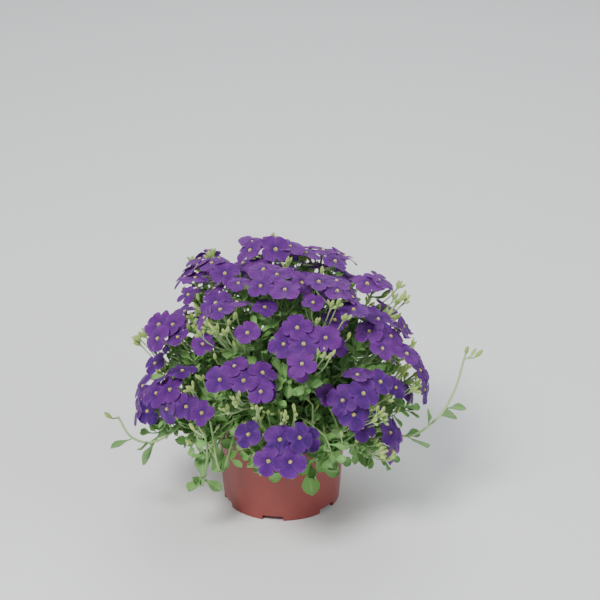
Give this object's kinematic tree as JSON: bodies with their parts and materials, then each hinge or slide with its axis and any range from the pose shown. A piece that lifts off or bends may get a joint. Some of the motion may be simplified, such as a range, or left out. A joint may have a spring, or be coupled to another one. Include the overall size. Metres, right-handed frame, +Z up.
{
  "type": "potted flowering plant",
  "caption": "Low bushy rockery plant with purple flowers and small toothed leaves, growing in compost in a round tapered plastic pot.",
  "frame": {"origin": "centre of the pot's underside, on the surface that the pot stands on", "axes": "+Z up along the pot's axis, -Y towards the front of the picture's view, +X to the right of that view"},
  "size_m": [0.2978, 0.2445, 0.2259],
  "materials": {
    "pot": "satin",
    "compost": "matte",
    "foliage": "matte",
    "flowers": "matte"
  },
  "bodies": {
    "root": {"pot": "pot", "compost": "compost", "shoot_left": "foliage", "shoot_hanging": "foliage", "shoot_front": "foliage", "shoot_right": "foliage", "leafy_stem_01": "foliage", "leafy_stem_02": "foliage", "leafy_stem_03": "foliage", "leafy_stem_04": "foliage", "leafy_stem_05": "foliage", "leafy_stem_06": "foliage", "leafy_stem_07": "foliage", "leafy_stem_08": "foliage", "leafy_stem_09": "foliage", "leafy_stem_10": "foliage", "leafy_stem_11": "foliage", "leafy_stem_12": "foliage", "leafy_stem_13": "foliage", "leafy_stem_14": "foliage", "leafy_stem_15": "foliage", "leafy_stem_16": "foliage", "leafy_stem_17": "foliage", "leafy_stem_18": "foliage", "leafy_stem_19": "foliage", "leafy_stem_20": "foliage", "leafy_stem_21": "foliage", "leafy_stem_22": "foliage", "leafy_stem_23": "foliage", "leafy_stem_24": "foliage", "leafy_stem_25": "foliage", "leafy_stem_26": "foliage", "flowers_01": "flowers", "flowers_02": "flowers", "flowers_03": "flowers", "flowers_04": "flowers", "flowers_05": "flowers", "flowers_06": "flowers", "flowers_07": "flowers", "flowers_08": "flowers", "flowers_09": "flowers", "flowers_10": "flowers", "flowers_11": "flowers", "flowers_12": "flowers", "flowers_13": "flowers", "flowers_14": "flowers", "flowers_15": "flowers", "flowers_16": "flowers", "flowers_17": "flowers", "flowers_18": "flowers", "flowers_19": "flowers", "flowers_20": "flowers", "flowers_21": "flowers", "flowers_22": "flowers", "flowers_23": "flowers", "flowers_24": "flowers", "flowers_25": "flowers", "flowers_26": "flowers"}
  },
  "joints": []
}
